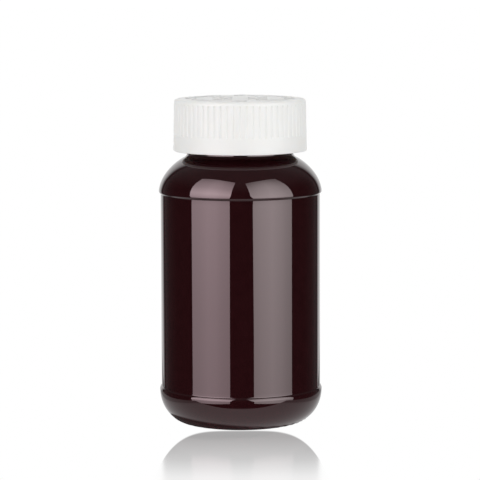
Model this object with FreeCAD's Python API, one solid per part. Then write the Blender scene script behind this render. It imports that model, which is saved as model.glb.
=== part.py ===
import FreeCAD, Part
import math
import os

from FreeCAD import Vector

# Wide-mouth packer bottle with a push-down-and-turn child-resistant cap.
# Millimetres, +Z up.  The origin is the middle of the base, on the surface that
# the bottle stands on, and the bottle's axis is Z.

# ---- bottle body -------------------------------------------------------------
BODY_R = 32.5            # widest, at both beads
PANEL_R = 31.8           # recessed label panel
WALL = 0.7               # panel wall
BASE_WALL = 1.4          # middle of the base
PUSH_UP = 3.2            # height of the base's middle above the table
PUSH_UP_EDGE_R = 19.2    # rim of the domed push-up
PUSH_UP_EDGE_Z = 1.0
FLOOR_EDGE_IN = 0.4      # the inside's rim, this far inside the push-up's
GATE_R = 3.0             # round gate mark in the middle of the base
GATE_H = 0.35
RING_R_IN = 20.4         # flat contact ring
RING_R_OUT = 21.4
HEEL_WALL = 1.0          # the heel is a quarter ellipse from the ring to the lower bead
BASE_BEAD_Z = 13.1       # crests of the two beads that bound the label panel
TOP_BEAD_Z = 92.8
BASE_BEAD_ROUND = 1.8    # crest radii on the panel's side
TOP_BEAD_ROUND = 0.8
BEAD_SWEEP = 0.5         # hollow radius between bead and panel

# ---- shoulder: three tangent arcs, each (radius, degrees up to which it runs) ------
SHOULDER_ARCS = ((5.3, 10.4), (14.5, 34.4), (21.64, 90.0))

# ---- neck finish, 45-400 ---------------------------------------------------------
NECK_R = 21.05           # thread root, E / 2
THREAD_R = 22.1          # thread crest, T / 2
BORE_R = 19.0
LAND_Z = 123.4           # sealing land, the top of the bottle
NECK_BLEND = 2.3         # hollow between shoulder and neck
TRANSFER_R = 23.0        # transfer bead
TRANSFER_Z = 111.4
TRANSFER_H = 1.6
FINISH_ROUND = 0.4       # edges of the transfer bead and the mouth
BORE_ROUND = 0.3
PITCH = 25.4 / 6         # six threads to the inch
THREAD_TURNS = 1.25
THREAD_START_Z = 115.5   # middle of the thread at its lower end
THREAD_BASE = 2.2        # ridge width at the root and at the crest
THREAD_CREST = 0.9
THREAD_FADE = 68.0       # degrees by which a ridge's end is cut back
THREAD_SUNK = 0.35       # how far a ridge starts inside its wall

# ---- liner -------------------------------------------------------------------------
LINER_R = 22.1
LAND_GAP = 0.05
FOIL_T = 0.15
BOARD_T = 0.9

# ---- inner cap -----------------------------------------------------------------------
INNER_GAP = 0.05         # board to the cap's ceiling
INNER_TOP_T = 1.05
INNER_BORE_R = 22.4
INNER_WALL_R = 23.6
INNER_FOOT_Z = 113.3
FLANGE_R = 24.3          # snap flange at the foot
FLANGE_H = 1.1
FLANGE_TAPER = 0.4
TOP_EDGE_ROUND = 0.6
LINER_LIP_R = 21.7       # small lip that keeps the liner in the cap
LIP_TOP_Z = 123.35
LIP_RUN = 0.2            # the lip's upper slope and flat
LIP_UNDER = 0.5          # its lower slope
CAP_THREAD_R = 21.45
CAP_THREAD_BASE = 1.6
CAP_THREAD_CREST = 0.7
CAP_THREAD_DROP = 1.5    # cap thread runs this far below the bottle's
TOOTH_COUNT = 8
TOOTH_R_IN = 15.5
TOOTH_R_OUT = 21.5
TOOTH_H = 1.2
TOOTH_W = 5.2
LUG_W = 4.6
RAMP_RUN = 1.8           # each tooth is bevelled on the side that slips when opening
RAMP_FROM = 0.45         # share of a tooth's height below the bevel
TOOTH_SUNK = 0.3         # how far teeth and lugs start inside their wall

# ---- outer cap -------------------------------------------------------------------------
CAP_TOP_Z = 129.5
CAP_FOOT_Z = 108.9
CAP_TOP_R = 26.15
CAP_FOOT_R = 26.6
CAP_TOP_T = 1.3
CAP_TOP_ROUND = 1.2
CAP_FOOT_ROUND = 0.45
SKIRT_IN_ROUND = 0.3
SKIRT_IN_TOP_R = 24.35
SKIRT_IN_FOOT_R = 24.65
SNAP_R = 23.55           # bead that holds the shell on the inner cap
SNAP_H = 1.0
SNAP_FLAT = 0.35
SNAP_GAP = 0.1
RIB_COUNT = 64
GROOVE_R = 0.45          # grooves between the ribs: round-bottomed
GROOVE_DEPTH = 0.3
GROOVE_TOP_Z = 128.05
GROOVE_FOOT_Z = 115.2
MARK_H = 0.35            # raised marks on the top
MARK_SUNK = 0.2
ARROW_COUNT = 4
ARROW_R = 19.6
ARROW_W = 1.5
ARROW_HEAD_W = 4.2
ARROW_HEAD_DEG = 11.0
ARROW_SPAN_DEG = 76.0
ARROW_TIP_DEG = -82.0    # one arrow's tip, just to the right of the front
PRESS_MARK_COUNT = 2     # chevrons in a row
PRESS_MARK_DEG = 45.0    # first row
PRESS_MARK_IN = 4.5      # chevrons that point at the middle: press here
PRESS_MARK_STEP = 4.2
PRESS_MARK_HALF = 2.8
PRESS_MARK_W = 1.1

# ---- spring fingers ------------------------------------------------------------------------
FINGER_COUNT = 4
FINGER_R_IN = 8.6
FINGER_R_OUT = 12.4
FINGER_T = 0.6
FINGER_TIP = -6.0        # a finger runs from its root to its tip across the radius
FINGER_ROOT = 4.0
SPOKE_END = 6.5
HUB_R_IN = 5.0
HUB_R_OUT = 8.0
FINGER_GAP = 0.05

# ---- heights that follow ---------------------------------------------------------------------
FOIL_Z = LAND_Z + LAND_GAP
BOARD_Z = FOIL_Z + FOIL_T
INNER_CEILING_Z = BOARD_Z + BOARD_T + INNER_GAP
INNER_TOP_Z = INNER_CEILING_Z + INNER_TOP_T
CAP_CEILING_Z = CAP_TOP_Z - CAP_TOP_T
SNAP_TOP_Z = INNER_FOOT_Z - SNAP_GAP

AXIS = Vector(0, 0, 1)
ORIGIN = Vector(0, 0, 0)


def at(r, z):
    """A point of a profile: radius r, height z."""
    return Vector(r, 0, z)


def on_circle(centre, radius, degrees):
    angle = math.radians(degrees)
    return at(centre.x + radius * math.cos(angle), centre.z + radius * math.sin(angle))


def arc(centre, radius, start, end):
    """Profile arc about centre, from one angle to another in degrees."""
    middle = on_circle(centre, radius, (start + end) / 2)
    return Part.Arc(on_circle(centre, radius, start), middle, on_circle(centre, radius, end)).toShape()


def line(a, b):
    return Part.LineSegment(a, b).toShape()


def polyline(points):
    return [line(a, b) for a, b in zip(points, points[1:])]


def turned(edges):
    """The solid that a closed profile sweeps about the axis."""
    face = Part.Face(Part.Wire(Part.sortEdges(edges)[0]))
    return face.revolve(ORIGIN, AXIS, 360)


def turned_polygon(points):
    return turned(polyline(points + [points[0]]))


def rounded(shape, radius, places):
    """Round the circular edges that pass through the profile points given as (r, z)."""
    edges = []
    for edge in shape.Edges:
        if edge.Degenerated or not isinstance(edge.Curve, Part.Circle):
            continue
        for r, z in places:
            if abs(edge.Curve.Radius - r) < 0.02 and abs(edge.Curve.Center.z - z) < 0.02:
                edges.append(edge)
    return shape.makeFillet(radius, edges)


def one_solid(shape):
    """The single solid of a boolean result."""
    solids = shape.removeSplitter().Solids
    assert len(solids) == 1, "expected one solid, got %d" % len(solids)
    return solids[0]


def around(shape, count, start=0.0):
    """Copies of a shape spaced evenly about the axis."""
    copies = []
    for i in range(count):
        copy = shape.copy()
        copy.rotate(ORIGIN, AXIS, start + 360.0 * i / count)
        copies.append(copy)
    return copies


def sector(r_in, r_out, z_low, z_high, start, sweep):
    """A block bent about the axis: part of a ring."""
    points = [at(r_in, z_low), at(r_out, z_low), at(r_out, z_high), at(r_in, z_high)]
    face = Part.Face(Part.makePolygon(points + [points[0]]))
    block = face.revolve(ORIGIN, AXIS, sweep)
    block.rotate(ORIGIN, AXIS, start)
    return block


def thread_ridge(root_r, crest_r, base_w, crest_w, start_z, turns):
    """A helical ridge.  Its ends are cut back so that they fade into the wall."""
    side = 1 if crest_r > root_r else -1
    foot_r = root_r - THREAD_SUNK * side
    slope = (base_w - crest_w) / 2 / (crest_r - root_r)
    foot_w = base_w / 2 + slope * (root_r - foot_r)
    points = [at(foot_r, -foot_w), at(crest_r, -crest_w / 2), at(crest_r, crest_w / 2), at(foot_r, foot_w)]
    profile = Part.makePolygon(points + [points[0]])
    path = Part.Wire(Part.makeLongHelix(PITCH, PITCH * turns, root_r))
    ridge = path.makePipeShell([profile], True, True)
    reach = root_r / 2
    for end_angle, direction in ((0.0, -1), (360.0 * turns, 1)):
        cutter = Part.makeBox(reach, reach, 2 * base_w)
        cutter.translate(Vector(-reach / 2, 0 if direction > 0 else -reach, -base_w))
        lean = -side * direction * THREAD_FADE
        cutter.rotate(ORIGIN, AXIS, lean)
        cutter.translate(Vector(root_r, 0, end_angle / 360.0 * PITCH))
        cutter.rotate(ORIGIN, AXIS, end_angle)
        ridge = ridge.cut(cutter)
    ridge.translate(Vector(0, 0, start_z))
    return ridge


def bead_arcs(crest_z, crest_round, panel_side):
    """A bead's crest and the hollow beside it, and the point where the hollow meets the panel.

    panel_side is 1 where the panel lies above the bead, and -1 where it lies below.
    """
    crest = at(BODY_R - crest_round, crest_z)
    across = PANEL_R + BEAD_SWEEP - crest.x
    rise = math.sqrt((crest_round + BEAD_SWEEP) ** 2 - across ** 2)
    hollow = at(PANEL_R + BEAD_SWEEP, crest_z + panel_side * rise)
    lean = panel_side * math.degrees(math.atan2(rise, across))
    edges = [
        arc(crest, crest_round, 0, lean),
        arc(hollow, BEAD_SWEEP, lean + panel_side * 180, panel_side * 180),
    ]
    return edges, at(PANEL_R, hollow.z)


def dome_arc(top_z, edge):
    """Arc of a spherical dome from the axis out to its edge."""
    drop = top_z - edge.z
    radius = (edge.x ** 2 + drop ** 2) / (2 * drop)
    centre = at(0, top_z - radius)
    edge_angle = math.degrees(math.atan2(edge.z - centre.z, edge.x))
    return arc(centre, radius, 90, edge_angle)


def heel_arc(reach, rise):
    """Quarter-ellipse heel that ends upright at the lower bead."""
    centre = at(RING_R_OUT, BASE_BEAD_Z)
    ellipse = Part.Ellipse(centre - Vector(0, 0, rise), centre + Vector(reach, 0, 0), centre)
    return Part.ArcOfEllipse(ellipse, 0, math.pi / 2).toShape()


def shoulder_arcs(centres, turns, inset):
    """The shoulder's arcs, moved in by a wall's thickness."""
    return [arc(centre, radius - inset, start, end)
            for centre, (radius, _), start, end in zip(centres, SHOULDER_ARCS, turns, turns[1:])]


def bottle():
    """Shell of even wall, thicker at the base and neck, with a screw finish."""
    push_up_edge = at(PUSH_UP_EDGE_R, PUSH_UP_EDGE_Z)
    base_bead, panel_low = bead_arcs(BASE_BEAD_Z, BASE_BEAD_ROUND, 1)
    top_bead, panel_high = bead_arcs(TOP_BEAD_Z, TOP_BEAD_ROUND, -1)

    centres, turns = [], [0]
    for radius, turn in SHOULDER_ARCS:
        if centres:
            centres.append(on_circle(centres[-1], last_radius - radius, turns[-1]))
        else:
            centres.append(at(BODY_R - radius, TOP_BEAD_Z))
        turns.append(turn)
        last_radius = radius
    blend_x = NECK_R + NECK_BLEND - centres[-1].x
    blend_z = math.sqrt((last_radius + NECK_BLEND) ** 2 - blend_x ** 2)
    blend = at(NECK_R + NECK_BLEND, centres[-1].z + blend_z)
    turns[-1] = math.degrees(math.atan2(blend_z, blend_x))
    outside = [
        dome_arc(PUSH_UP, push_up_edge),
        line(push_up_edge, at(RING_R_IN, 0)),
        line(at(RING_R_IN, 0), at(RING_R_OUT, 0)),
        heel_arc(BODY_R - RING_R_OUT, BASE_BEAD_Z),
        *base_bead,
        line(panel_low, panel_high),
        *top_bead,
        *shoulder_arcs(centres, turns, 0),
        arc(blend, NECK_BLEND, turns[-1] + 180, 180),
    ]

    inner_r = PANEL_R - WALL
    shoulder_wall = BODY_R - inner_r
    inner_last = last_radius - shoulder_wall
    turns[-1] = math.degrees(math.acos((BORE_R - centres[-1].x) / inner_last))
    bore_foot = on_circle(centres[-1], inner_last, turns[-1])
    finish = polyline([
        at(NECK_R, blend.z),
        at(NECK_R, TRANSFER_Z),
        at(TRANSFER_R, TRANSFER_Z),
        at(TRANSFER_R, TRANSFER_Z + TRANSFER_H),
        at(NECK_R, TRANSFER_Z + TRANSFER_H),
        at(NECK_R, LAND_Z),
        at(BORE_R, LAND_Z),
        bore_foot,
    ])
    floor_z = PUSH_UP + BASE_WALL
    floor_edge = push_up_edge + at(-FLOOR_EDGE_IN, HEEL_WALL)
    inside = [
        *shoulder_arcs(centres, turns, shoulder_wall),
        line(at(inner_r, TOP_BEAD_Z), at(inner_r, BASE_BEAD_Z)),
        heel_arc(inner_r - RING_R_OUT, BASE_BEAD_Z - HEEL_WALL),
        line(at(RING_R_OUT, HEEL_WALL), floor_edge),
        dome_arc(floor_z, floor_edge),
        line(at(0, floor_z), at(0, PUSH_UP)),
    ]
    body = turned(outside + finish + inside)
    top_of_bead = TRANSFER_Z + TRANSFER_H
    edges = [(TRANSFER_R, TRANSFER_Z), (TRANSFER_R, top_of_bead), (NECK_R, LAND_Z)]
    body = rounded(body, FINISH_ROUND, edges)
    body = rounded(body, BORE_ROUND, [(BORE_R, LAND_Z)])
    gate = disc(GATE_R, PUSH_UP - GATE_H, GATE_H + BASE_WALL / 2)
    ridge = thread_ridge(NECK_R, THREAD_R, THREAD_BASE, THREAD_CREST, THREAD_START_Z, THREAD_TURNS)
    return one_solid(body.fuse([gate, ridge]))


def disc(radius, z, thickness):
    return Part.makeCylinder(radius, thickness, at(0, z))


def tooth(points, length_in, length_out):
    """A straight bar along X whose section is given as (y, z) points."""
    outline = Part.makePolygon([Vector(length_in, y, z) for y, z in points + [points[0]]])
    return Part.Face(outline).extrude(Vector(length_out - length_in, 0, 0))


def inner_cap():
    """Threaded closure with bevelled teeth on top and a snap flange at its foot."""
    shell = turned_polygon([
        at(0, INNER_CEILING_Z),
        at(INNER_BORE_R, INNER_CEILING_Z),
        at(INNER_BORE_R, LIP_TOP_Z),
        at(LINER_LIP_R, LIP_TOP_Z - LIP_RUN),
        at(LINER_LIP_R, LIP_TOP_Z - 2 * LIP_RUN),
        at(INNER_BORE_R, LIP_TOP_Z - 2 * LIP_RUN - LIP_UNDER),
        at(INNER_BORE_R, INNER_FOOT_Z),
        at(FLANGE_R, INNER_FOOT_Z),
        at(FLANGE_R, INNER_FOOT_Z + FLANGE_H),
        at(INNER_WALL_R, INNER_FOOT_Z + FLANGE_H + FLANGE_TAPER),
        at(INNER_WALL_R, INNER_TOP_Z),
        at(0, INNER_TOP_Z),
    ])
    shell = rounded(shell, TOP_EDGE_ROUND, [(INNER_WALL_R, INNER_TOP_Z)])
    ridge = thread_ridge(INNER_BORE_R, CAP_THREAD_R, CAP_THREAD_BASE, CAP_THREAD_CREST,
                         THREAD_START_Z - CAP_THREAD_DROP + PITCH / 4, THREAD_TURNS)
    ridge.rotate(ORIGIN, AXIS, 90)
    half = TOOTH_W / 2
    bar = tooth([
        (-half, -TOOTH_SUNK), (half, -TOOTH_SUNK), (half, TOOTH_H),
        (RAMP_RUN - half, TOOTH_H), (-half, RAMP_FROM * TOOTH_H),
    ], TOOTH_R_IN, TOOTH_R_OUT)
    bar.translate(at(0, INNER_TOP_Z))
    return one_solid(shell.fuse([ridge] + around(bar, TOOTH_COUNT)))


def skirt_r(z):
    """Inner radius of the outer cap's drafted skirt."""
    share = (z - CAP_FOOT_Z) / (CAP_CEILING_Z - CAP_FOOT_Z)
    return SKIRT_IN_FOOT_R + share * (SKIRT_IN_TOP_R - SKIRT_IN_FOOT_R)


def wall_r(z):
    """Outer radius of the outer cap's drafted wall."""
    share = (z - CAP_FOOT_Z) / (CAP_TOP_Z - CAP_FOOT_Z)
    return CAP_FOOT_R + share * (CAP_TOP_R - CAP_FOOT_R)


def groove():
    """Cutter for one groove between two ribs: a bar with round ends along the wall."""
    standoff = GROOVE_R - GROOVE_DEPTH
    low = at(wall_r(GROOVE_FOOT_Z) + standoff, GROOVE_FOOT_Z + GROOVE_R)
    high = at(wall_r(GROOVE_TOP_Z) + standoff, GROOVE_TOP_Z - GROOVE_R)
    along = high - low
    bar = Part.makeCylinder(GROOVE_R, along.Length, low, along)
    return bar.fuse([Part.makeSphere(GROOVE_R, low), Part.makeSphere(GROOVE_R, high)])


def flat_mark(points):
    """A raised mark on the cap's top, sunk a little into it."""
    outline = Part.makePolygon([Vector(x, y, CAP_TOP_Z - MARK_SUNK) for x, y in points + [points[0]]])
    return Part.Face(outline).extrude(Vector(0, 0, MARK_SUNK + MARK_H))


def turn_arrow():
    """A curved arrow about the axis, pointing the way the cap opens."""
    shaft = sector(ARROW_R - ARROW_W / 2, ARROW_R + ARROW_W / 2, CAP_TOP_Z - MARK_SUNK, CAP_TOP_Z + MARK_H,
                   -ARROW_SPAN_DEG, ARROW_SPAN_DEG - ARROW_HEAD_DEG + 1)
    base = math.radians(-ARROW_HEAD_DEG)
    inner, outer = ARROW_R - ARROW_HEAD_W / 2, ARROW_R + ARROW_HEAD_W / 2
    head = flat_mark([
        (inner * math.cos(base), inner * math.sin(base)),
        (outer * math.cos(base), outer * math.sin(base)),
        (ARROW_R, 0),
    ])
    return shaft.fuse(head)


def press_chevron(tip):
    """A chevron whose point is nearest the axis."""
    return flat_mark([
        (tip, 0),
        (tip + PRESS_MARK_HALF, PRESS_MARK_HALF),
        (tip + PRESS_MARK_HALF + PRESS_MARK_W, PRESS_MARK_HALF),
        (tip + PRESS_MARK_W, 0),
        (tip + PRESS_MARK_HALF + PRESS_MARK_W, -PRESS_MARK_HALF),
        (tip + PRESS_MARK_HALF, -PRESS_MARK_HALF),
    ])


def outer_cap():
    """Ribbed shell: drive lugs under its top, and a snap bead inside its skirt."""
    shell = turned_polygon([
        at(0, CAP_CEILING_Z),
        at(SKIRT_IN_TOP_R, CAP_CEILING_Z),
        at(skirt_r(SNAP_TOP_Z), SNAP_TOP_Z),
        at(SNAP_R, SNAP_TOP_Z),
        at(SNAP_R, SNAP_TOP_Z - SNAP_FLAT),
        at(skirt_r(SNAP_TOP_Z - SNAP_H), SNAP_TOP_Z - SNAP_H),
        at(SKIRT_IN_FOOT_R, CAP_FOOT_Z),
        at(CAP_FOOT_R, CAP_FOOT_Z),
        at(CAP_TOP_R, CAP_TOP_Z),
        at(0, CAP_TOP_Z),
    ])
    shell = rounded(shell, CAP_TOP_ROUND, [(CAP_TOP_R, CAP_TOP_Z)])
    shell = rounded(shell, CAP_FOOT_ROUND, [(CAP_FOOT_R, CAP_FOOT_Z)])
    shell = rounded(shell, SKIRT_IN_ROUND, [(SKIRT_IN_FOOT_R, CAP_FOOT_Z)])
    shell = shell.cut(around(groove(), RIB_COUNT, -90))
    half = LUG_W / 2
    lug = tooth([
        (-half, TOOTH_SUNK), (-half, -TOOTH_H), (half - RAMP_RUN, -TOOTH_H),
        (half, -RAMP_FROM * TOOTH_H), (half, TOOTH_SUNK),
    ], TOOTH_R_IN, TOOTH_R_OUT)
    lug.translate(at(0, CAP_CEILING_Z))
    lugs = around(lug, TOOTH_COUNT, 180.0 / TOOTH_COUNT)
    arrows = around(turn_arrow(), ARROW_COUNT, ARROW_TIP_DEG)
    chevrons = []
    for step in range(PRESS_MARK_COUNT):
        tip = PRESS_MARK_IN + step * PRESS_MARK_STEP
        chevrons += around(press_chevron(tip), ARROW_COUNT, PRESS_MARK_DEG)
    return one_solid(shell.fuse(lugs + arrows + chevrons))


def spring_fingers():
    """A ring with fingers that slope down to the inner cap's top."""
    hub_z = CAP_CEILING_Z - FINGER_T
    tip_z = INNER_TOP_Z + FINGER_GAP
    hub = sector(HUB_R_IN, HUB_R_OUT, hub_z, CAP_CEILING_Z, 0, 360)
    tongue = tooth([
        (FINGER_TIP, tip_z), (FINGER_ROOT, hub_z),
        (FINGER_ROOT, CAP_CEILING_Z), (FINGER_TIP, tip_z + FINGER_T),
    ], FINGER_R_IN, FINGER_R_OUT)
    spoke = tooth([
        (FINGER_ROOT, hub_z), (SPOKE_END, hub_z), (SPOKE_END, CAP_CEILING_Z), (FINGER_ROOT, CAP_CEILING_Z),
    ], HUB_R_IN, FINGER_R_OUT)
    return one_solid(hub.fuse(around(tongue, FINGER_COUNT) + around(spoke, FINGER_COUNT)))


def main():
    os.makedirs("parts", exist_ok=True)
    pieces = {
        "bottle": bottle(),
        "foil_seal": disc(LINER_R, FOIL_Z, FOIL_T),
        "liner_board": disc(LINER_R, BOARD_Z, BOARD_T),
        "inner_cap": inner_cap(),
        "spring_fingers": spring_fingers(),
        "outer_cap": outer_cap(),
    }
    for name, shape in pieces.items():
        assert shape.isValid(), name
        shape.exportStep("parts/%s.step" % name)


main()
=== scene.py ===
"""Looks for the child-resistant packer bottle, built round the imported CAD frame."""

import math

import bmesh
import bpy
from mathutils import Matrix, Vector


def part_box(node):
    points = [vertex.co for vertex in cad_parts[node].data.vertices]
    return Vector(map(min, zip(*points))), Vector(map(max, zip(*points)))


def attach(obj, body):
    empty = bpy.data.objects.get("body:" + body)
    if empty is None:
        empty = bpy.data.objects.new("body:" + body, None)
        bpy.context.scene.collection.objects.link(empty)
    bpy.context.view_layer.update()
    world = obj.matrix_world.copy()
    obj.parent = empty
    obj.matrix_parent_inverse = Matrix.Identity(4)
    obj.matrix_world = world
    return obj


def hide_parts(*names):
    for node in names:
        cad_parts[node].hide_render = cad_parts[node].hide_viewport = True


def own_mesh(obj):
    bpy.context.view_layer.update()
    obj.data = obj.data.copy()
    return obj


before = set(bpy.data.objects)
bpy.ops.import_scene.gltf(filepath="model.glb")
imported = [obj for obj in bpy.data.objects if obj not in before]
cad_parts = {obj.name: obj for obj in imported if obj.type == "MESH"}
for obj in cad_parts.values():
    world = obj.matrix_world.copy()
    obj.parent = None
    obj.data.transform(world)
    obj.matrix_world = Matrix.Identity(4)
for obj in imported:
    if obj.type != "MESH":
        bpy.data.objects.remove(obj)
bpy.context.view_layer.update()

MM = 0.001

# ---- sizes that the frame gives ------------------------------------------------------------------
bottle_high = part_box("bottle")[1]
cap_low, cap_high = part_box("outer_cap")
inner_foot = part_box("inner_cap")[0].z
fingers_low, fingers_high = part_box("spring_fingers")
BODY_R = min(bottle_high.x, bottle_high.y) / MM
LAND_Z = bottle_high.z / MM
CAP_FOOT_Z = cap_low.z / MM
CAP_FOOT_R = (cap_high.x - cap_low.x) / 2 / MM
CEILING_Z = fingers_high.z / MM

# ---- bottle, in millimetres ----------------------------------------------------------------------
PANEL_DEPTH = 0.7
PANEL_R = BODY_R - PANEL_DEPTH
WALL, HEEL_WALL, BASE_WALL = 0.7, 1.0, 1.4
RING_R_IN, RING_R_OUT = 20.4, 21.4
PUSH_UP = 3.2
PUSH_UP_EDGE = (19.2, 1.0)  # (radius, z) where the base's dome ends
GATE_R, GATE_H = 3.0, 0.35  # the small mark in the middle of the base
BASE_BEAD_Z, TOP_BEAD_Z = 13.1, 92.8
BASE_BEAD_ROUND, TOP_BEAD_ROUND = 1.8, 0.8
BEAD_SWEEP, BEAD_REACH = 0.5, 3.0  # the hollow beside a bead, and where the straight panel starts
SHOULDER_ARCS = ((5.3, 10.4), (14.5, 34.4), (21.64, 90.0))  # (radius, degrees up to which it runs)
NECK_R, THREAD_R, BORE_R = 21.05, 22.1, 19.0
NECK_BLEND = 2.3
LIP_ROUND, MOUTH_ROUND = 0.4, 0.3
TRANSFER_R, TRANSFER_Z, TRANSFER_H, TRANSFER_ROUND = 23.0, 111.4, 1.6, 0.4
PITCH = 25.4 / 6
THREAD_TURNS = 1.25
THREAD_START_Z = 115.5
THREAD_BASE, THREAD_CREST = 2.2, 0.9
THREAD_FADE, THREAD_STEP = 18.0, 0.16  # degrees, and the mesh's rows
BOTTLE_SEGMENTS = 384
SEAM_ANGLES = (-90.0, 90.0)  # the mould's parting line, front and back
SEAM_H, SEAM_HALF = 0.02, 0.45
KNURLS, KNURL_H = 36, 0.2  # slanted ridges round the contact ring
KNURL_Z = (0.2, 2.4)
KNURL_SLANT = 26.0

# ---- outer cap -----------------------------------------------------------------------------------
CAP_TOP_Z = 129.5
CAP_TOP_R = CAP_FOOT_R - 0.45
CAP_TOP_ROUND, CAP_FOOT_ROUND = 1.2, 0.45
SKIRT_TOP_R, SKIRT_FOOT_R = 24.35, 24.65
SNAP_R, SNAP_TOP_Z, SNAP_H = 23.55, inner_foot / MM - 0.1, 1.0
RIBS = 64
GROOVE_HALF, GROOVE_DEPTH = 0.52, 0.3
GROOVE_FOOT_Z, GROOVE_TOP_Z = 115.2, 128.05
GROOVE_END = 0.5
CAP_SEGMENTS = RIBS * 14
LUGS, LUG_W, LUG_R = 8, 4.6, (15.5, 21.5)
LUG_H, LUG_RAMP, LUG_RAMP_FROM = 1.2, 1.8, 0.45
MARK_H = cap_high.z / MM - CAP_TOP_Z
ARROWS, ARROW_R, ARROW_W = 4, 19.6, 1.5
ARROW_HEAD_W, ARROW_HEAD_DEG, ARROW_SPAN_DEG, ARROW_TIP_DEG = 4.2, 11.0, 76.0, -82.0
CHEVRON_TIPS, CHEVRON_HALF, CHEVRON_W, CHEVRON_DEG = (4.5, 8.7), 2.8, 1.1, 45
EDGE_BEVEL, LUG_BEVEL = 0.12, 0.15
OVERLAP = 0.3  # how far marks and lugs reach into the cap's top

# ---- spring fingers ------------------------------------------------------------------------------
FINGERS, FINGER_R, FINGER_T = 4, (8.6, 12.4), 0.6
FINGER_TIP, FINGER_ROOT, SPOKE_END = -6.0, 4.0, 6.5
HUB_R, HUB_OVERLAP, HUB_SEGMENTS = (5.0, 8.0), 1.2, 72  # the hub runs in under the tongues

# ---- stage and light, in metres ------------------------------------------------------------------
FLOOR_R = 8.0
BOARD_X, BOARD_Y = 0.076, (-0.0505, 0.5)  # a bright board under the bottle, which only its gloss sees
BOARD_GLOW = (0.08, 0.82)  # glow in the painted shade of the bottle, and outside it
BOARD_SIDES = [(0.0, 1.0), (0.6, 0.9), (0.71, 0.78), (0.75, 0.48), (1.0, 0.42)]  # (share of BOARD_X, level)
FLOOR_Z, BOARD_Z = -0.0001, -0.001
# centre and fade radii of the painted shadow of the bottle on the glowing board
PAINTED_SHADE_CENTRE, PAINTED_SHADE_R = (-0.0035, 0.0005, 0), (0.0270, 0.0292)
IMAGE_HALF = 0.0325  # outline of the mirror image on the floor in front
IMAGE_WIDEST_Y, IMAGE_NEAR_Y = -0.165, -0.0226
IMAGE_SQUARENESS = 4.2
IMAGE_FADE, IMAGE_EDGE = (-0.14, -0.02), (-0.001, 0.002)
IMAGE_SHARE = [(0.0, 0.03), (0.28, 0.17), (0.51, 0.40), (0.88, 0.62)]  # (place along IMAGE_FADE, share)
IMAGE_BLUR = [(0.3, 0.16), (0.97, 0.03)]  # (place along IMAGE_FADE, roughness)
# the backdrop as a reflection sees it: (degrees off +Y, level)
BACKDROP = ((75, 0.02), (55, 0.05), (40, 0.10), (37, 0.04), (35, 0.03), (33, 0.08), (30.5, 0.5), (25, 1.0))
# how a reflection's level changes with its direction's Z: (from, to, level at from, level at to)
CEILING = (0.3, 0.85, 0.0, 0.11)
BACKDROP_FOOT = (-0.5, -0.12, 0.45, 1.0)
FAR_FLOOR = (-0.6, -0.45, 0.8, 0.0)
FILL_ALL, FILL_FRONT, FILL_ABOVE = 0.75, 0.3, 0.09  # light on matt surfaces
CAMERA_LEVEL = 1.1  # of the backdrop as the camera sees it
# outline: (sideways, height); up: (height, strength); across: (sideways, share of that strength)
SOFTBOXES = (
    dict(name="softbox_left", azimuth=-44.05, colour=(1.0, 0.90, 0.94),
         outline=[(0.5486, -0.3), (0.5486, -0.13), (0.59, 0.31), (0.66, 1.6), (0.67, 1.95),
                  (-0.85, 1.75), (-0.57, 0.1), (-0.5486, -0.3)],
         up=[(-0.3, 3.0), (-0.18, 3.4), (-0.1, 3.9), (0.09, 5.8), (0.44, 7.6), (0.84, 5.2), (1.75, 2.9)],
         across=[(-0.6, 0.78), (-0.27, 0.89), (-0.05, 1.0), (0.15, 0.98), (0.3, 0.9), (0.6, 0.82)]),
    dict(name="softbox_right", azimuth=48.45, colour=(1.0, 1.0, 1.0),
         outline=[(-0.5762, -0.3), (-0.5762, -0.137), (-0.68, 0.327), (-0.775, 1.517), (-0.79, 1.85),
                  (0.5762, 1.66), (0.5762, -0.3)],
         up=[(-0.3, 3.2), (-0.18, 3.45), (-0.1, 4.05), (0.09, 5.6), (0.25, 5.8), (0.84, 4.5), (1.6, 2.2)],
         across=[(-0.6, 0.81), (-0.35, 0.92), (-0.05, 1.0), (0.2, 0.87), (0.36, 0.74), (0.6, 0.60)]),
)

# ---- camera, in metres and degrees ---------------------------------------------------------------
LENS = 180.0
CAMERA_DISTANCE = 0.960
CAMERA_PITCH = 6.75
CAMERA_ROLL = 0.2
AIM = Vector((-0.00017, 0, 0.0729))


def smooth(x):
    x = min(max(x, 0.0), 1.0)
    return x * x * (3 - 2 * x)


# ---- profiles ------------------------------------------------------------------------------------
def on_circle(centre, radius, degrees):
    angle = math.radians(degrees)
    return (centre[0] + radius * math.cos(angle), centre[1] + radius * math.sin(angle))


def polar(radius, degrees):
    return on_circle((0, 0), radius, degrees)


def arc(centre, radius, start, end, step):
    count = max(2, int(abs(end - start) / step) + 1)
    return [on_circle(centre, radius, start + (end - start) * i / count) for i in range(count + 1)]


def rise(r, low, high, step):
    count = max(1, int(abs(high - low) / step + 0.5))
    return [(r, low + (high - low) * i / count) for i in range(count + 1)]


def dome(top_z, edge, steps):
    """Spherical dome from the axis out to its edge."""
    drop = top_z - edge[1]
    radius = (edge[0] ** 2 + drop ** 2) / (2 * drop)
    return [(edge[0] * i / steps, top_z - radius + math.sqrt(radius ** 2 - (edge[0] * i / steps) ** 2))
            for i in range(steps + 1)]


def heel(reach, depth, steps):
    """Quarter ellipse from the contact ring to the lower bead."""
    turns = [math.pi / 2 * i / steps for i in range(steps + 1)]
    return [(RING_R_OUT + reach * math.sin(turn), BASE_BEAD_Z - depth * math.cos(turn)) for turn in turns]


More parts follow.
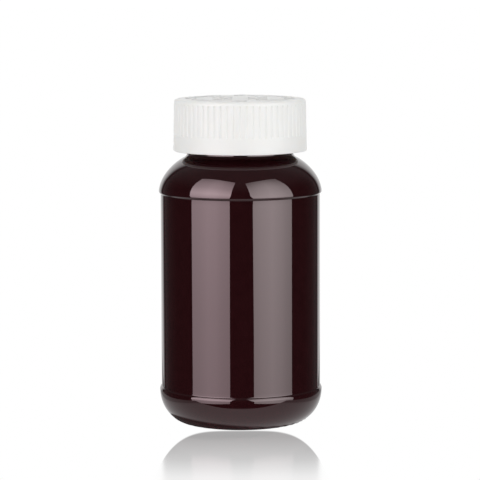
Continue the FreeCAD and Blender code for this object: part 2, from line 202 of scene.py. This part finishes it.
def bead(crest_z, crest_round, side):
    """Crest and hollow of a bead.  side is 1 where the panel lies above it."""
    crest = (BODY_R - crest_round, crest_z)
    across = PANEL_R + BEAD_SWEEP - crest[0]
    climb = math.sqrt((crest_round + BEAD_SWEEP) ** 2 - across ** 2)
    hollow = (PANEL_R + BEAD_SWEEP, crest_z + side * climb)
    lean = side * math.degrees(math.atan2(climb, across))
    return arc(crest, crest_round, 0, lean, 4) + arc(hollow, BEAD_SWEEP, lean + side * 180, side * 180, 6)


def shoulder(centres, turns, inset):
    points = []
    for centre, (radius, _), start, end in zip(centres, SHOULDER_ARCS, turns, turns[1:]):
        points += arc(centre, radius - inset, start, end, 1.5)
    return points


def without_doubles(points):
    kept = [points[0]]
    for p in points[1:]:
        if math.dist(p, kept[-1]) > 1e-4:
            kept.append(p)
    return kept


def bottle_profile():
    """Outline of the bottle's wall in millimetres, from the base's middle, outside first."""
    centres, turns = [(BODY_R - SHOULDER_ARCS[0][0], TOP_BEAD_Z)], [0]
    for (radius, turn), (next_radius, _) in zip(SHOULDER_ARCS, SHOULDER_ARCS[1:]):
        centres.append(on_circle(centres[-1], radius - next_radius, turn))
        turns.append(turn)
    last = SHOULDER_ARCS[-1][0]
    blend_x = NECK_R + NECK_BLEND - centres[-1][0]
    blend_z = math.sqrt((last + NECK_BLEND) ** 2 - blend_x ** 2)
    blend = (NECK_R + NECK_BLEND, centres[-1][1] + blend_z)
    end = math.degrees(math.atan2(blend_z, blend_x))
    transfer_top = TRANSFER_Z + TRANSFER_H
    gate = [(0, PUSH_UP - GATE_H), (GATE_R - 0.3, PUSH_UP - GATE_H), (GATE_R, PUSH_UP - GATE_H + 0.1)]
    outside = (
        gate + [p for p in dome(PUSH_UP, PUSH_UP_EDGE, 14) if p[0] > GATE_R + 0.05]
        + [(RING_R_IN - 0.5, 0.4), (RING_R_IN - 0.15, 0.06), (RING_R_IN, 0), (RING_R_OUT, 0)]
        + heel(BODY_R - RING_R_OUT, BASE_BEAD_Z, 54)
        + bead(BASE_BEAD_Z, BASE_BEAD_ROUND, 1)
        + rise(PANEL_R, BASE_BEAD_Z + BEAD_REACH, TOP_BEAD_Z - BEAD_REACH, 3.0)
        + bead(TOP_BEAD_Z, TOP_BEAD_ROUND, -1)[::-1]
        + shoulder(centres, turns + [end], 0)
        + arc(blend, NECK_BLEND, end + 180, 180, 8)
        + [(NECK_R, TRANSFER_Z - 0.15), (NECK_R + 0.15, TRANSFER_Z)]
        + arc((TRANSFER_R - TRANSFER_ROUND, TRANSFER_Z + TRANSFER_ROUND), TRANSFER_ROUND, -90, 0, 15)
        + arc((TRANSFER_R - TRANSFER_ROUND, transfer_top - TRANSFER_ROUND), TRANSFER_ROUND, 0, 90, 15)
        + [(NECK_R + 0.15, transfer_top), (NECK_R, transfer_top + 0.15)]
        + rise(NECK_R, transfer_top + 0.3, LAND_Z - 0.9, THREAD_STEP)
        + arc((NECK_R - LIP_ROUND, LAND_Z - LIP_ROUND), LIP_ROUND, 0, 90, 15)
    )
    inner_r = PANEL_R - WALL
    wall = BODY_R - inner_r
    bore_turn = math.degrees(math.acos((BORE_R - centres[-1][0]) / (last - wall)))
    bore_foot = on_circle(centres[-1], last - wall, bore_turn)
    floor_edge = (PUSH_UP_EDGE[0] - 0.4, PUSH_UP_EDGE[1] + HEEL_WALL)
    inside = (
        arc((BORE_R + MOUTH_ROUND, LAND_Z - MOUTH_ROUND), MOUTH_ROUND, 90, 180, 15)
        + rise(BORE_R, LAND_Z - 1.5, bore_foot[1] + 0.3, 2.0)
        + shoulder(centres, turns + [bore_turn], wall)[::-1]
        + rise(inner_r, TOP_BEAD_Z - BEAD_REACH, BASE_BEAD_Z + BEAD_REACH, 4.0)
        + heel(inner_r - RING_R_OUT, BASE_BEAD_Z - HEEL_WALL, 24)[::-1]
        + dome(PUSH_UP + BASE_WALL, floor_edge, 12)[::-1]
    )
    return without_doubles(outside + inside)


# ---- mesh helpers --------------------------------------------------------------------------------
def finish_mesh(name, mesh, material, smooth_faces=True):
    piece = bpy.data.objects.new(name, mesh)
    bpy.context.scene.collection.objects.link(piece)
    mesh.materials.append(material)
    if smooth_faces:
        mesh.polygons.foreach_set("use_smooth", [True] * len(mesh.polygons))
    return piece


def lathe(name, profile, angles, shape, material):
    """Closed solid turned about the axis.  shape(r, z, degrees, index) gives a point's radius and height.

    A profile point on the axis becomes one vertex.
    """
    vertices, rows = [], []
    for index, (r, z) in enumerate(profile):
        if r < 1e-6:
            rows.append([len(vertices)] * len(angles))
            vertices.append((0.0, 0.0, z * MM))
            continue
        rows.append(list(range(len(vertices), len(vertices) + len(angles))))
        for degrees in angles:
            radius, height = shape(r, z, degrees, index)
            x, y = polar(radius, degrees)
            vertices.append((x * MM, y * MM, height * MM))
    faces = []
    closed = profile[0][0] > 1e-6
    pairs = list(zip(rows, rows[1:])) + ([(rows[-1], rows[0])] if closed else [])
    for low, high in pairs:
        for i in range(len(angles)):
            j = (i + 1) % len(angles)
            corners = [low[i], low[j], high[j], high[i]]
            faces.append(tuple(dict.fromkeys(corners)))
    mesh = bpy.data.meshes.new(name)
    mesh.from_pydata(vertices, [], faces)
    mesh.validate()
    return finish_mesh(name, mesh, material)


def prism(outline, z_low, z_high):
    """bmesh of a flat outline, in millimetres, drawn up from one height to another."""
    bm = bmesh.new()
    low = [bm.verts.new((x * MM, y * MM, z_low * MM)) for x, y in outline]
    high = [bm.verts.new((x * MM, y * MM, z_high * MM)) for x, y in outline]
    bm.faces.new(low[::-1])
    bm.faces.new(high)
    for i in range(len(outline)):
        j = (i + 1) % len(outline)
        bm.faces.new((low[i], low[j], high[j], high[i]))
    return bm


def bar(section, x_low, x_high):
    """bmesh of a bar along X with a (y, z) section in millimetres."""
    bm = bmesh.new()
    near = [bm.verts.new((x_low * MM, y * MM, z * MM)) for y, z in section]
    far = [bm.verts.new((x_high * MM, y * MM, z * MM)) for y, z in section]
    bm.faces.new(near[::-1])
    bm.faces.new(far)
    for i in range(len(section)):
        j = (i + 1) % len(section)
        bm.faces.new((near[i], near[j], far[j], far[i]))
    bmesh.ops.recalc_face_normals(bm, faces=bm.faces)
    return bm


def bevelled(bm, width, bluntest=25.0):
    """Round off the edges that turn by more than the bluntest angle, in degrees."""
    edges = [e for e in bm.edges if e.calc_face_angle(0.0) > math.radians(bluntest)]
    bmesh.ops.bevel(bm, geom=edges, offset=width * MM, segments=2, profile=0.5, affect="EDGES")
    return bm


def ring_of(name, bm, count, start, material):
    """One piece made of copies of bm spaced evenly about the axis."""
    source = bpy.data.meshes.new(name + "_source")
    bm.to_mesh(source)
    bm.free()
    joined = bmesh.new()
    for i in range(count):
        before = len(joined.verts)
        joined.from_mesh(source)
        joined.verts.ensure_lookup_table()
        turn = Matrix.Rotation(math.radians(start + 360.0 * i / count), 3, "Z")
        bmesh.ops.rotate(joined, matrix=turn, verts=joined.verts[before:])
    bpy.data.meshes.remove(source)
    mesh = bpy.data.meshes.new(name)
    joined.to_mesh(mesh)
    joined.free()
    return finish_mesh(name, mesh, material)


# ---- materials -----------------------------------------------------------------------------------
class Tree:
    """Short hand for building a node tree."""

    def __init__(self, tree):
        self.tree = tree

    def add(self, kind, links=(), **values):
        node = self.tree.nodes.new(kind)
        for key, value in values.items():
            setattr(node, key, value)
        for socket, source in dict(links).items():
            self.feed(node, socket, source)
        return node

    def feed(self, node, socket, source):
        if isinstance(source, bpy.types.NodeSocket):
            self.tree.links.new(source, node.inputs[socket])
        else:
            node.inputs[socket].default_value = source

    def math(self, operation, *sources, clamp=False):
        node = self.add("ShaderNodeMath", dict(enumerate(sources)), operation=operation, use_clamp=clamp)
        return node.outputs[0]

    def mapped(self, source, low, high, to_low=0.0, to_high=1.0, kind="LINEAR"):
        links = {"Value": source, "From Min": low, "From Max": high, "To Min": to_low, "To Max": to_high}
        return self.add("ShaderNodeMapRange", links, interpolation_type=kind).outputs["Result"]

    def split(self, vector):
        return self.add("ShaderNodeSeparateXYZ", {0: vector}).outputs

    def ramp(self, source, stops):
        node = self.add("ShaderNodeValToRGB", {"Fac": source})
        elements = node.color_ramp.elements
        while len(elements) < len(stops):
            elements.new(0.5)
        for element, (position, colour) in zip(elements, stops):
            element.position = position
            element.color = (*colour, 1.0) if isinstance(colour, tuple) else (colour, colour, colour, 1.0)
        return node.outputs["Color"]


class Nodes(Tree):
    """Short hand for building a material."""

    def __init__(self, name):
        self.material = bpy.data.materials.new(name)
        self.material.use_nodes = True
        super().__init__(self.material.node_tree)
        self.shader = self.tree.nodes["Principled BSDF"]
        self.output = self.tree.nodes["Material Output"]
        self.place = self.add("ShaderNodeTexCoord").outputs["Object"]

    def noise(self, scale, detail, roughness, place=None):
        links = {"Vector": place or self.place, "Scale": scale, "Detail": detail, "Roughness": roughness}
        return self.add("ShaderNodeTexNoise", links).outputs["Fac"]

    def stretched(self, x, y, z):
        return self.add("ShaderNodeMapping", {"Vector": self.place, "Scale": (x, y, z)}).outputs["Vector"]

    def bump(self, height, strength, distance):
        links = {"Height": height, "Strength": strength, "Distance": distance}
        return self.add("ShaderNodeBump", links).outputs["Normal"]

    def set(self, **values):
        for key, value in values.items():
            self.feed(self.shader, key.replace("_", " "), value)

    def glow(self, strength, colour=(1.0, 1.0, 1.0)):
        return self.add("ShaderNodeEmission", {"Color": (*colour, 1.0), "Strength": strength}).outputs[0]

    def show(self, shader):
        """Use this shader instead of the principled one."""
        self.tree.nodes.remove(self.shader)
        self.tree.links.new(shader, self.output.inputs["Surface"])
        return self.material


def dark_pet():
    """Dark red-brown PET, so densely tinted that it looks opaque, with a clear high gloss."""
    n = Nodes("dark_pet")
    flow = n.noise(9.0, 1.0, 0.4, n.stretched(1.0, 1.0, 0.25))
    haze = n.noise(260.0, 3.0, 0.6)
    n.set(Base_Color=n.ramp(haze, [(0.3, (0.0150, 0.0026, 0.0034)), (0.7, (0.0180, 0.0034, 0.0043))]))
    n.set(Roughness=n.ramp(haze, [(0.35, 0.012), (0.75, 0.03)]))
    n.set(Normal=n.bump(flow, 0.06, 0.002))
    n.set(IOR=1.57)
    n.shader.inputs["Specular Tint"].default_value = (1.0, 0.84, 0.86, 1.0)
    return n.material


def white_cap(name, light, dark, grain=0.12):
    """Moulded polypropylene with a fine satin grain and faint flow marks."""
    n = Nodes(name)
    cloud = n.noise(60.0, 4.0, 0.55)
    fine = n.noise(2600.0, 2.0, 0.6)
    n.set(Base_Color=n.ramp(cloud, [(0.3, dark), (0.7, light)]))
    n.set(Roughness=n.ramp(fine, [(0.3, 0.44), (0.7, 0.56)]))
    n.set(Normal=n.bump(fine, grain, 0.0001))
    n.set(IOR=1.43, Subsurface_Weight=0.5, Subsurface_Scale=0.0025)
    n.shader.inputs["Subsurface Radius"].default_value = (1.0, 0.9, 0.8)
    return n.material


def pulp_board():
    n = Nodes("pulp_board")
    fibre = n.noise(900.0, 6.0, 0.7, n.stretched(1.0, 3.0, 1.0))
    fleck = n.noise(2200.0, 2.0, 0.5)
    n.set(Base_Color=n.ramp(fibre, [(0.3, (0.52, 0.45, 0.34)), (0.62, (0.74, 0.68, 0.57))]))
    n.set(Roughness=n.ramp(fleck, [(0.3, 0.8), (0.7, 0.95)]))
    n.set(Normal=n.bump(fibre, 0.5, 0.0003))
    return n.material


def foil():
    n = Nodes("foil")
    crease = n.noise(180.0, 5.0, 0.6)
    n.set(Base_Color=n.ramp(crease, [(0.3, (0.78, 0.79, 0.81)), (0.7, (0.9, 0.9, 0.91))]))
    n.set(Roughness=n.ramp(crease, [(0.3, 0.22), (0.7, 0.36)]))
    n.set(Normal=n.bump(crease, 0.3, 0.0003))
    n.set(Metallic=1.0)
    return n.material


PET = dark_pet()
CAP_WHITE = white_cap("cap_white", (0.855, 0.85, 0.832), (0.815, 0.81, 0.79))
INNER_WHITE = white_cap("inner_white", (0.80, 0.80, 0.78), (0.74, 0.74, 0.72), 0.2)


# ---- bottle --------------------------------------------------------------------------------------
def thread_height(z, degrees):
    """Height of the screw thread above the neck's wall."""
    best = 0.0
    for turn in (0.0, 360.0):
        along = degrees % 360.0 + turn
        if along > 360.0 * THREAD_TURNS:
            continue
        off = abs(z - THREAD_START_Z - PITCH * along / 360.0)
        flank = (THREAD_BASE / 2 - off) / (THREAD_BASE - THREAD_CREST) * 2
        fade = smooth(along / THREAD_FADE) * smooth((360.0 * THREAD_TURNS - along) / THREAD_FADE)
        best = max(best, smooth(flank) * fade)
    return best * (THREAD_R - NECK_R)


def seam_height(r, degrees):
    away = min(abs((degrees - s + 180.0) % 360.0 - 180.0) for s in SEAM_ANGLES)
    return SEAM_H * smooth(1 - math.radians(away) * r / SEAM_HALF)


def knurl_height(z, degrees):
    share = (z - KNURL_Z[0]) / (KNURL_Z[1] - KNURL_Z[0])
    if not 0 < share < 1:
        return 0.0
    wave = math.cos(math.radians(KNURLS * (degrees + KNURL_SLANT * share)))
    return KNURL_H * smooth(wave * 1.4) * smooth(4 * share) * smooth(3 * (1 - share))


def make_bottle():
    profile = bottle_profile()
    inside_from = max(range(len(profile)), key=lambda i: profile[i][1])
    thread_from = TRANSFER_Z + TRANSFER_H + 0.3

    def shape(r, z, degrees, index):
        if index >= inside_from:
            return r, z
        if z > thread_from and r > NECK_R - 0.01:
            return r + thread_height(z, degrees), z
        if r > RING_R_OUT and z < TRANSFER_Z:
            seam = seam_height(r, degrees) * smooth((z - 3) / 4)
            knurl = 0.5 * knurl_height(z, degrees)
            return min(r + seam + knurl, BODY_R), z - knurl
        return r, z

    step = 360.0 / BOTTLE_SEGMENTS
    angles = [i * step for i in range(BOTTLE_SEGMENTS)]
    for angle in SEAM_ANGLES:
        angles += [(angle + side * share * step) % 360.0 for side in (-1, 1) for share in (0.25, 0.5, 0.75)]
    return lathe("bottle_shell", profile, sorted(angles), shape, PET)


bottle_piece = make_bottle()
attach(bottle_piece, "bottle")
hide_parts("bottle")


# ---- outer cap -----------------------------------------------------------------------------------
def between(z, low_z, high_z, low_r, high_r):
    return low_r + (high_r - low_r) * (z - low_z) / (high_z - low_z)


def skirt_r(z):
    return between(z, CAP_FOOT_Z, CEILING_Z, SKIRT_FOOT_R, SKIRT_TOP_R)


def wall_r(z):
    return between(z, CAP_FOOT_Z, CAP_TOP_Z, CAP_FOOT_R, CAP_TOP_R)


def cap_profile():
    foot_centre = (CAP_FOOT_R - CAP_FOOT_ROUND, CAP_FOOT_Z + CAP_FOOT_ROUND)
    top_centre = (CAP_TOP_R - CAP_TOP_ROUND, CAP_TOP_Z - CAP_TOP_ROUND)
    wall_low, wall_high = CAP_FOOT_Z + 0.9, CAP_TOP_Z - CAP_TOP_ROUND - 0.1
    groove_foot = [GROOVE_FOOT_Z + GROOVE_END * i / 5 for i in range(6)]
    groove_top = [GROOVE_TOP_Z - GROOVE_END * i / 5 for i in range(5, -1, -1)]
    wall = [wall_low, GROOVE_FOOT_Z - 2.5, GROOVE_FOOT_Z - 0.2, *groove_foot, GROOVE_FOOT_Z + 3,
            (GROOVE_FOOT_Z + GROOVE_TOP_Z) / 2, GROOVE_TOP_Z - 3, *groove_top, wall_high]
    return without_doubles(
        [(0, CAP_TOP_Z), (8, CAP_TOP_Z), (16, CAP_TOP_Z), (22, CAP_TOP_Z)]
        + arc(top_centre, CAP_TOP_ROUND, 90, 1, 9)
        + [(wall_r(z), z) for z in wall[::-1]]
        + arc(foot_centre, CAP_FOOT_ROUND, 0, -90, 15)
        + arc((SKIRT_FOOT_R + 0.3, CAP_FOOT_Z + 0.3), 0.3, -90, -180, 18)
        + [(skirt_r(CAP_FOOT_Z + 1), CAP_FOOT_Z + 1)]
        + [(skirt_r(SNAP_TOP_Z - SNAP_H), SNAP_TOP_Z - SNAP_H), (SNAP_R, SNAP_TOP_Z - 0.4)]
        + [(SNAP_R, SNAP_TOP_Z - 0.1), (SNAP_R + 0.12, SNAP_TOP_Z), (skirt_r(SNAP_TOP_Z), SNAP_TOP_Z + 0.05)]
        + [(skirt_r(CEILING_Z - 0.6), CEILING_Z - 0.6)]
        + [(SKIRT_TOP_R - 0.15, CEILING_Z - 0.15), (SKIRT_TOP_R - 0.6, CEILING_Z), (0, CEILING_Z)]
    )


def make_cap():
    groove_step = 360.0 / RIBS

    def shape(r, z, degrees, index):
        outer = r > SKIRT_FOOT_R + 0.4
        if not outer or not GROOVE_FOOT_Z <= z <= GROOVE_TOP_Z:
            return r, z
        away = abs((degrees + 90.0 + groove_step / 2) % groove_step - groove_step / 2)
        across = math.radians(away) * r / GROOVE_HALF
        ends = smooth((z - GROOVE_FOOT_Z) / GROOVE_END) * smooth((GROOVE_TOP_Z - z) / GROOVE_END)
        return r - GROOVE_DEPTH * smooth(1.15 * (1 - across)) * ends, z

    angles = [i * 360.0 / CAP_SEGMENTS for i in range(CAP_SEGMENTS)]
    return lathe("cap_shell", cap_profile(), angles, shape, CAP_WHITE)


def arrow_outline():
    """A curved arrow with its tip at angle 0, pointing the way that the cap opens."""
    start, neck = -ARROW_SPAN_DEG, -ARROW_HEAD_DEG
    count = 20
    turns = [start + (neck - start) * i / count for i in range(count + 1)]
    outer = [polar(ARROW_R + ARROW_W / 2, t) for t in turns]
    inner = [polar(ARROW_R - ARROW_W / 2, t) for t in turns[::-1]]
    half = ARROW_HEAD_W / 2
    head = [polar(ARROW_R + half, neck), polar(ARROW_R, 0), polar(ARROW_R - half, neck)]
    return outer + head + inner


def chevron_outline(tip):
    back = tip + CHEVRON_HALF
    return [(tip, 0), (back, -CHEVRON_HALF), (back + CHEVRON_W, -CHEVRON_HALF), (tip + CHEVRON_W, 0),
            (back + CHEVRON_W, CHEVRON_HALF), (back, CHEVRON_HALF)]


def cap_marks():
    root, top = CAP_TOP_Z - OVERLAP, CAP_TOP_Z + MARK_H
    arrow = bevelled(prism(arrow_outline(), root, top), EDGE_BEVEL)
    pieces = [ring_of("cap_arrows", arrow, ARROWS, ARROW_TIP_DEG, CAP_WHITE)]
    for i, tip in enumerate(CHEVRON_TIPS):
        chevron = bevelled(prism(chevron_outline(tip), root, top), EDGE_BEVEL)
        pieces.append(ring_of("cap_chevrons_%d" % (i + 1), chevron, ARROWS, CHEVRON_DEG, CAP_WHITE))
    return pieces


def cap_lugs():
    half = LUG_W / 2
    top = CEILING_Z + OVERLAP
    section = [(-half, top), (-half, CEILING_Z - LUG_H), (half - LUG_RAMP, CEILING_Z - LUG_H),
               (half, CEILING_Z - LUG_RAMP_FROM * LUG_H), (half, top)]
    return ring_of("cap_lugs", bevelled(bar(section, *LUG_R), LUG_BEVEL), LUGS, 180.0 / LUGS, CAP_WHITE)


cap_piece = make_cap()
for piece in [cap_piece, cap_lugs(), *cap_marks()]:
    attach(piece, "outer_cap")
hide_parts("outer_cap")


# ---- spring fingers ------------------------------------------------------------------------------
def make_fingers():
    hub_z = CEILING_Z - FINGER_T
    tip_z = fingers_low.z / MM
    tongue = bar([(FINGER_TIP, tip_z), (FINGER_ROOT, hub_z), (SPOKE_END, hub_z), (SPOKE_END, CEILING_Z),
                  (FINGER_ROOT, CEILING_Z), (FINGER_TIP, tip_z + FINGER_T)], *FINGER_R)
    tongues = ring_of("finger_tongues", bevelled(tongue, EDGE_BEVEL, bluntest=8), FINGERS, 0, CAP_WHITE)
    hub_r, hub_reach = HUB_R[0], HUB_R[1] + HUB_OVERLAP
    hub = [(hub_r, hub_z), (hub_reach, hub_z), (hub_reach, CEILING_Z), (hub_r, CEILING_Z)]
    angles = [i * 360.0 / HUB_SEGMENTS for i in range(HUB_SEGMENTS)]
    ring = lathe("finger_hub", hub, angles, lambda r, z, degrees, index: (r, z), CAP_WHITE)
    return tongues, ring


for piece in make_fingers():
    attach(piece, "spring_fingers")
    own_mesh(piece)
    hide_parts("spring_fingers")


# ---- CAD nodes that stay -------------------------------------------------------------------------
for node, material in (("inner_cap", INNER_WHITE), ("liner_board", pulp_board()), ("foil_seal", foil())):
    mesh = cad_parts[node].data
    mesh.materials.clear()
    mesh.materials.append(material)


# ---- stage ---------------------------------------------------------------------------------------
def sheet(name, corners, material, seen_by_camera=False):
    """A flat stage piece.  Its corners are (x, y, z)."""
    mesh = bpy.data.meshes.new(name)
    mesh.from_pydata(corners, [], [tuple(range(len(corners)))])
    piece = finish_mesh(name, mesh, material, False)
    piece.visible_camera = seen_by_camera
    piece.visible_diffuse = seen_by_camera
    return piece


def softbox(name, azimuth, colour, outline, up, across):
    """A glowing upright sheet, a metre away, that only reflections see."""
    n = Nodes(name)
    x, _, z = n.split(n.place)
    shares = []
    for axis, levels in ((z, up), (x, across)):
        low, high, most = levels[0][0], levels[-1][0], max(level for _, level in levels)
        steps = [((at - low) / (high - low), level / most) for at, level in levels]
        shares.append(n.ramp(n.mapped(axis, low, high), steps))
    strongest = max(level for _, level in up)
    material = n.show(n.glow(n.math("MULTIPLY", n.math("MULTIPLY", *shares), strongest), colour))
    piece = sheet(name, [(sideways, -1.0, height) for sideways, height in outline], material)
    piece.rotation_euler.z = math.radians(azimuth)
    piece.visible_transmission = False


for settings in SOFTBOXES:
    softbox(**settings)


def floor_material():
    """White gloss acrylic whose mirror image fades and blurs with distance in front of the bottle."""
    n = Nodes("floor")
    x, y, _ = n.split(n.place)
    near = n.mapped(y, *IMAGE_FADE)
    share, blur = n.ramp(near, IMAGE_SHARE), n.ramp(near, IMAGE_BLUR)
    aside = n.math("POWER", n.math("DIVIDE", n.math("ABSOLUTE", x), IMAGE_HALF), IMAGE_SQUARENESS)
    bow = n.math("SQRT", n.math("SUBTRACT", 1.0, aside, clamp=True))
    edge = n.math("MULTIPLY_ADD", bow, IMAGE_NEAR_Y - IMAGE_WIDEST_Y, IMAGE_WIDEST_Y)
    inside = n.mapped(n.math("SUBTRACT", edge, y), *IMAGE_EDGE)
    gloss = n.add("ShaderNodeBsdfGlossy", {"Color": (1, 1, 1, 1), "Roughness": blur}).outputs[0]
    mixed = n.add("ShaderNodeMixShader", {0: n.math("MULTIPLY", share, inside), 1: n.glow(1.0), 2: gloss})
    return n.show(mixed.outputs[0])


def board_material():
    """The glowing board under the bottle: painted shade where the bottle would shade it, and glow painted
    dimmer towards its sides.
    """
    n = Nodes("floor_glow")
    away = n.add("ShaderNodeVectorMath", {0: n.place, 1: PAINTED_SHADE_CENTRE}, operation="DISTANCE").outputs["Value"]
    level = n.mapped(away, *PAINTED_SHADE_R, *BOARD_GLOW, kind="SMOOTHSTEP")
    aside = n.mapped(n.math("ABSOLUTE", n.split(n.place)[0]), 0.0, BOARD_X)
    return n.show(n.glow(n.math("MULTIPLY", level, n.ramp(aside, BOARD_SIDES))))


def make_floor():
    """A wide floor that the bottle's gloss doesn't mirror, and a small bright board that it does."""
    count = 128
    rim = [polar(FLOOR_R, 360.0 * i / count) for i in range(count)]
    floor = sheet("floor", [(x, y, 0) for x, y in rim], floor_material(), seen_by_camera=True)
    floor.location.z = FLOOR_Z
    floor.visible_glossy = False
    front, back = BOARD_Y
    corners = [(-BOARD_X, front, 0), (BOARD_X, front, 0), (BOARD_X, back, 0), (-BOARD_X, back, 0)]
    sheet("floor_glow", corners, board_material()).location.z = BOARD_Z


make_floor()


def make_world():
    """Pale for the camera; a white backdrop behind the bottle and darkness at its sides in reflections."""
    world = bpy.data.worlds.new("studio")
    bpy.context.scene.world = world
    world.use_nodes = True
    world.node_tree.nodes.clear()
    t = Tree(world.node_tree)

    x, y, z = t.split(t.add("ShaderNodeTexCoord").outputs["Generated"])
    flat = t.math("SQRT", t.math("ADD", t.math("MULTIPLY", x, x), t.math("MULTIPLY", y, y)))
    facing = t.math("DIVIDE", y, t.math("MAXIMUM", flat, 1e-4))
    backdrop = t.ramp(facing, [(math.cos(math.radians(degrees)), level) for degrees, level in BACKDROP])
    foot, ceiling, far_floor = (t.mapped(z, *limits, kind="SMOOTHSTEP")
                                for limits in (BACKDROP_FOOT, CEILING, FAR_FLOOR))
    studio = t.math("MAXIMUM", t.math("ADD", t.math("MULTIPLY", backdrop, foot), ceiling), far_floor)

    front = t.math("MAXIMUM", t.math("MULTIPLY", y, -1.0), 0.0)
    above = t.math("MAXIMUM", z, 0.0)
    fill = t.math("MULTIPLY_ADD", front, FILL_FRONT, t.math("MULTIPLY_ADD", above, FILL_ABOVE, FILL_ALL))

    path = t.add("ShaderNodeLightPath").outputs
    even = t.math("MAXIMUM", path["Is Camera Ray"], path["Is Transmission Ray"])
    level = t.math("MULTIPLY", even, CAMERA_LEVEL)
    level = t.math("MULTIPLY_ADD", path["Is Diffuse Ray"], fill, level)
    level = t.math("MULTIPLY_ADD", path["Is Glossy Ray"], studio, level)
    glow = t.add("ShaderNodeBackground", {"Color": (1, 1, 1, 1), "Strength": level})
    t.add("ShaderNodeOutputWorld", {"Surface": glow.outputs["Background"]})


make_world()


def make_camera():
    data = bpy.data.cameras.new("camera")
    data.lens = LENS
    camera = bpy.data.objects.new("camera", data)
    bpy.context.scene.collection.objects.link(camera)
    pitch = math.radians(CAMERA_PITCH)
    back = Vector((0, -math.cos(pitch), math.sin(pitch)))
    camera.location = AIM + back * CAMERA_DISTANCE
    roll = Matrix.Rotation(math.radians(CAMERA_ROLL), 3, -back)
    camera.rotation_euler = (roll @ (-back).to_track_quat("-Z", "Y").to_matrix()).to_euler()
    data.clip_start, data.clip_end = 0.05, 50.0
    bpy.context.scene.camera = camera


make_camera()
bpy.context.scene.view_settings.view_transform = "Standard"
